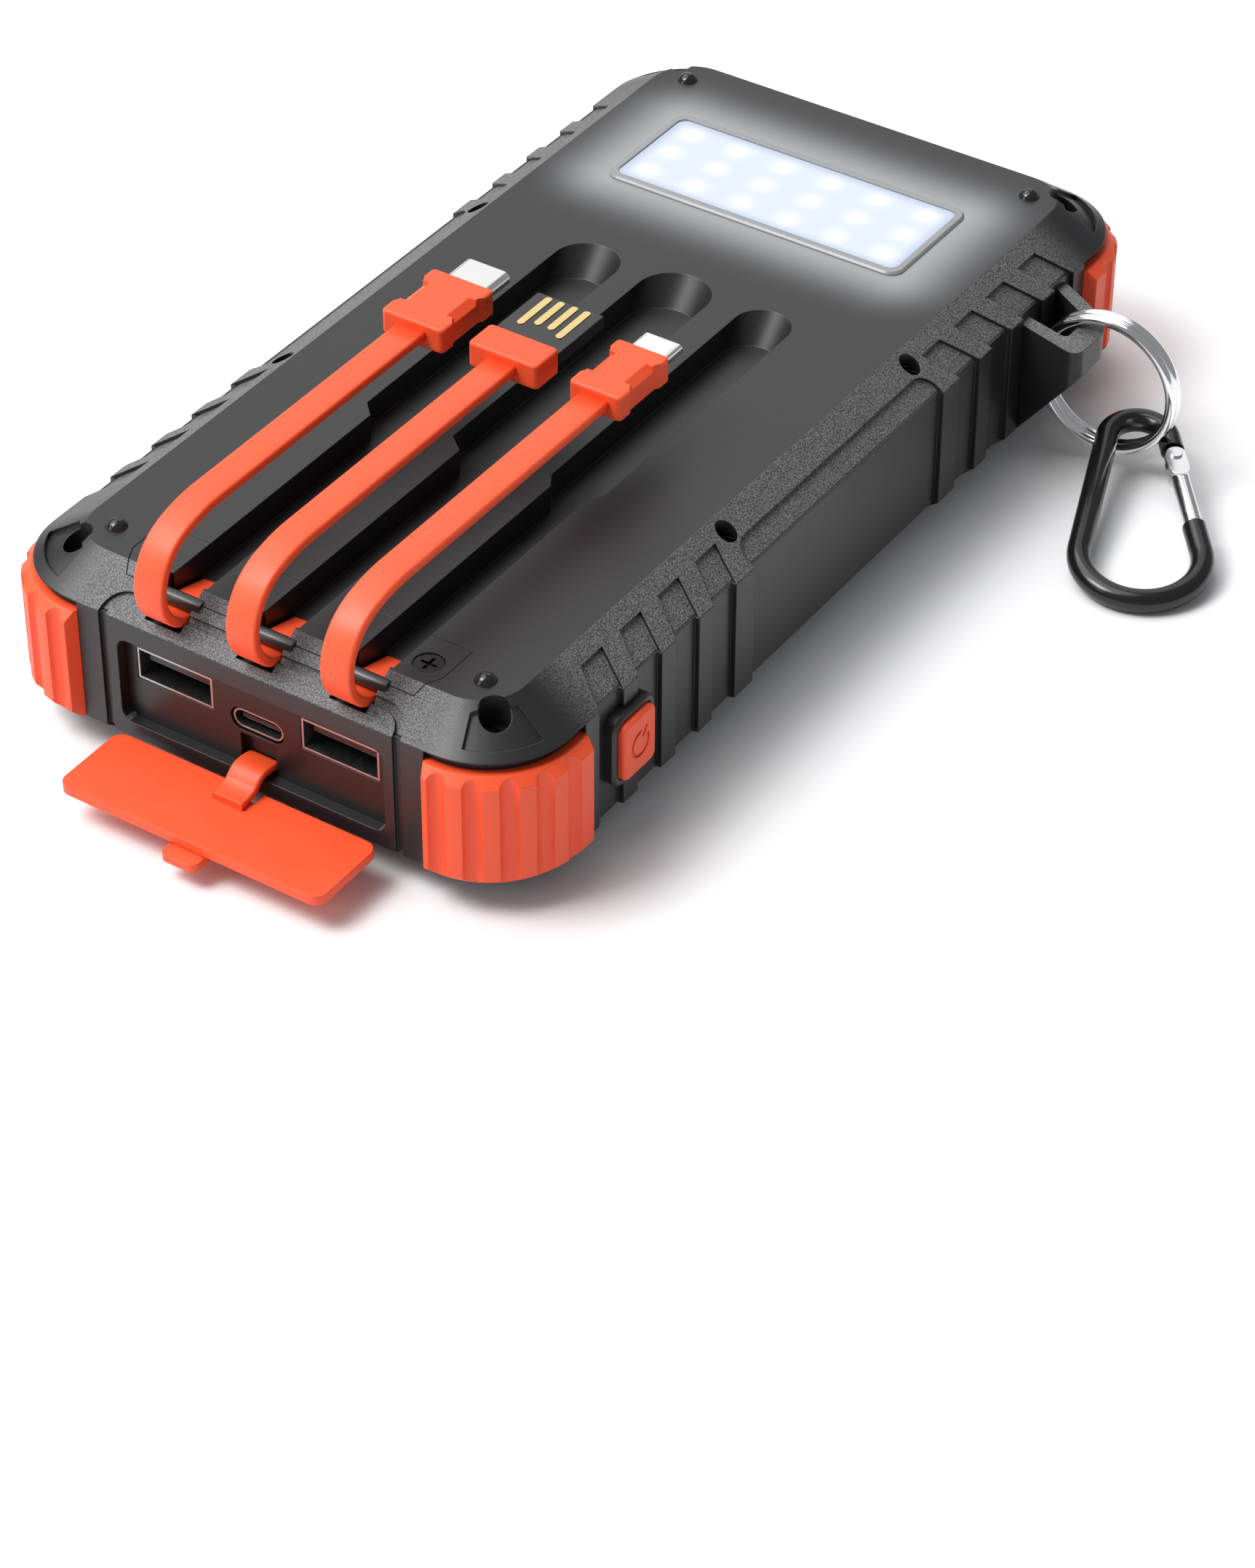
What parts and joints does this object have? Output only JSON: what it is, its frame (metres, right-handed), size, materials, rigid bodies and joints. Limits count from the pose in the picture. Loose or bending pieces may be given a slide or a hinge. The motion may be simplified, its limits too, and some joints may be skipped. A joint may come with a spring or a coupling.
{
  "type": "solar phone charger",
  "caption": "Rugged solar power bank with three built-in flat leads, camping light, torches, port flap and carabiner.",
  "frame": {"origin": "centre of the base rim, on the surface it stands on", "axes": "+Z to the back face with the leads, +Y to the torch end, +X to the button and lanyard side"},
  "size_m": [0.1384, 0.1985, 0.0461],
  "materials": {
    "black_plastic": "satin",
    "orange_rubber": "satin",
    "gasket_rubber": "matte",
    "black_steel": "satin",
    "clear_plastic": "clear",
    "solar_cell": "gloss",
    "blue_light": "lit",
    "green_light": "lit",
    "white_board": "satin",
    "lit_led": "lit",
    "chrome": "polished",
    "circuit_board": "satin",
    "steel": "brushed",
    "black_rubber": "matte",
    "chip_plastic": "matte",
    "battery_foil": "satin",
    "foam": "foam",
    "gold": "polished",
    "white_plastic": "gloss",
    "anodised": "anodised"
  },
  "bodies": {
    "case": {"front_housing": "black_plastic", "back_cover": "black_plastic", "case_gasket": "gasket_rubber", "case_screws": "black_steel", "corner_studs": "black_plastic", "solar_cover": "clear_plastic", "solar_cell": "solar_cell", "charge_light_pipes": "blue_light", "solar_light_pipe": "green_light", "camping_light_lens": "clear_plastic", "camping_light_rim": "black_plastic", "camping_light_board": "white_board", "camping_light_leds": "lit_led", "torch_bezel_left": "black_plastic", "torch_bezel_right": "black_plastic", "torch_lenses": "clear_plastic", "torch_reflectors": "chrome", "torch_board": "circuit_board", "torch_leds": "lit_led", "port_panel": "black_plastic", "usb_a_shell_left": "steel", "usb_a_shell_right": "steel", "usb_a_tongues": "black_plastic", "usb_c_shell": "steel", "usb_c_tongue": "black_plastic", "port_flap_strap": "black_rubber", "main_board": "circuit_board", "controller_chips": "chip_plastic", "power_inductor": "chip_plastic", "battery_cell_solar_side": "battery_foil", "battery_cell_back_side": "battery_foil", "battery_foam": "foam", "button_frame": "black_plastic", "button_switch": "chip_plastic", "bumper_torch_right": "orange_rubber", "bumper_torch_left": "orange_rubber", "bumper_port_left": "orange_rubber", "bumper_port_right": "orange_rubber", "lanyard_loop": "orange_rubber", "cable_cover": "black_plastic", "cable_cover_screws": "black_steel", "lead_bars": "black_plastic", "lead_anchors": "black_rubber", "usb_c_lead": "orange_rubber", "usb_a_lead": "orange_rubber", "slim_lead": "orange_rubber", "usb_c_plug_grip": "orange_rubber", "usb_a_plug_grip": "orange_rubber", "slim_plug_grip": "orange_rubber", "usb_c_plug": "steel", "usb_a_plug": "black_plastic", "usb_a_contacts": "gold", "slim_plug": "steel", "slim_plug_insert": "white_plastic"},
    "flap": {"port_flap": "black_rubber"},
    "button": {"power_button": "orange_rubber"},
    "ring": {"key_ring": "steel"},
    "carabiner": {"carabiner_hook": "anodised"},
    "gate": {"carabiner_gate": "steel", "gate_rivet": "steel"}
  },
  "joints": [
    {"name": "port_flap_hinge", "type": "hinge", "parent": "case", "child": "flap", "pos_m": [0, -0.08803, 0.00583], "axis": [-1, 0, 0], "range_deg": [0, 90], "deforming": ["port_flap_strap"]},
    {"name": "power_button_press", "type": "slide", "parent": "case", "child": "button", "axis": [-1, 0, 0], "range_m": [0, 0.0005], "stiffness_N_per_m": 600, "springref_m": -0.0005},
    {"name": "key_ring_swing", "type": "hinge", "parent": "case", "child": "ring", "pos_m": [0.0515, 0.0576, 0.0195], "axis": [0, 0, 1], "range_deg": [-12, 12]},
    {"name": "carabiner_lift", "type": "hinge", "parent": "ring", "child": "carabiner", "pos_m": [0.0604, 0.0583, 0.0044], "axis": [-1, 0, 0], "range_deg": [0, 30]},
    {"name": "carabiner_gate_hinge", "type": "hinge", "parent": "carabiner", "child": "gate", "pos_m": [0.07255, 0.05687, 0.00636], "axis": [-0.0696, 0.1205, -0.9903], "range_deg": [0, 22], "stiffness_Nm_per_rad": 0.004, "springref_deg": -5.73}
  ]
}
